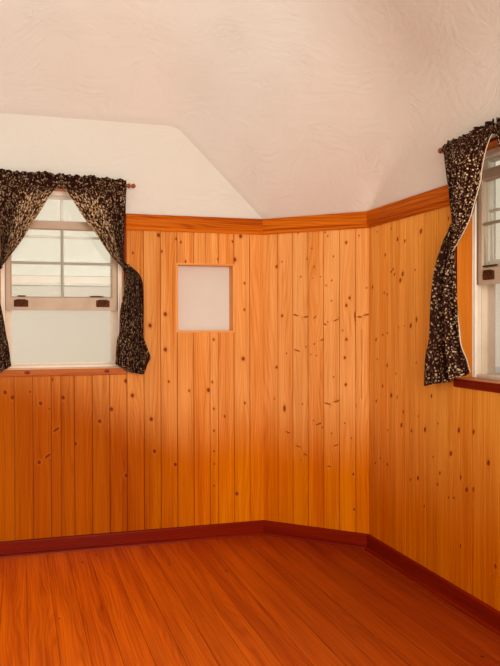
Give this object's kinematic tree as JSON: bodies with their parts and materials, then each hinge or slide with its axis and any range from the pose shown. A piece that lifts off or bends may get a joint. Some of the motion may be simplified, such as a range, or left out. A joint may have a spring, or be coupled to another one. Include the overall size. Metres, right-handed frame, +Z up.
{
  "type": "panelled cabin room corner",
  "caption": "Corner of a timber cabin room on a boarded floor: panelled walls with sash windows, tied-back curtains, a niche and sloping plaster ceilings.",
  "frame": {"origin": "middle of the ground rectangle that the part covers, at the underside of the floor frame", "axes": "+X along the left wall towards the corner wall, +Y out through the left wall, +Z up; the right wall runs along Y and faces -X"},
  "size_m": [3.2036, 3.3136, 3.362],
  "materials": {
    "wall_framing": "matt",
    "left_wall_lining": "satin",
    "corner_wall_lining": "satin",
    "right_wall_lining": "satin",
    "outside_boards": "matt",
    "roof_boards": "matt",
    "plaster": "matt",
    "floor_joists": "matt",
    "stained_floor": "gloss",
    "moulded_rail": "satin",
    "dark_skirting": "satin",
    "niche_lining": "satin",
    "window_joinery": "satin",
    "white_vinyl": "satin",
    "window_glass": "clear",
    "insect_mesh": "matt",
    "brown_catch": "satin",
    "turned_rod": "satin",
    "printed_cotton": "matt"
  },
  "bodies": {
    "root": {"left_wall_frame": "wall_framing", "left_wall_boards": "left_wall_lining", "left_wall_cladding": "outside_boards", "left_rail": "moulded_rail", "left_skirting": "dark_skirting", "corner_wall_frame": "wall_framing", "corner_wall_boards": "corner_wall_lining", "corner_wall_cladding": "outside_boards", "corner_rail": "moulded_rail", "corner_skirting": "dark_skirting", "right_wall_frame": "wall_framing", "right_wall_boards": "right_wall_lining", "right_wall_cladding": "outside_boards", "right_rail": "moulded_rail", "right_skirting": "dark_skirting", "left_wall_plaster": "plaster", "left_window_jambs": "window_joinery", "left_window_sill": "window_joinery", "left_window_frame": "white_vinyl", "left_inner_sash": "white_vinyl", "left_outer_sash": "white_vinyl", "left_window_glass": "window_glass", "left_window_screen": "insect_mesh", "left_sash_catches": "brown_catch", "left_curtain_rod": "turned_rod", "left_window_curtain_left": "printed_cotton", "left_window_curtain_right": "printed_cotton", "right_wall_plaster": "plaster", "right_window_jambs": "window_joinery", "right_window_sill": "window_joinery", "right_window_frame": "white_vinyl", "right_inner_sash": "white_vinyl", "right_outer_sash": "white_vinyl", "right_window_glass": "window_glass", "right_window_screen": "insect_mesh", "right_sash_catches": "brown_catch", "right_curtain_rod": "turned_rod", "right_window_curtain_left": "printed_cotton", "right_window_curtain_right": "printed_cotton", "ceiling": "plaster", "roof": "roof_boards", "floor_frame": "floor_joists", "floor_boards": "stained_floor", "niche_boards": "niche_lining", "niche_back": "plaster"}
  },
  "joints": []
}
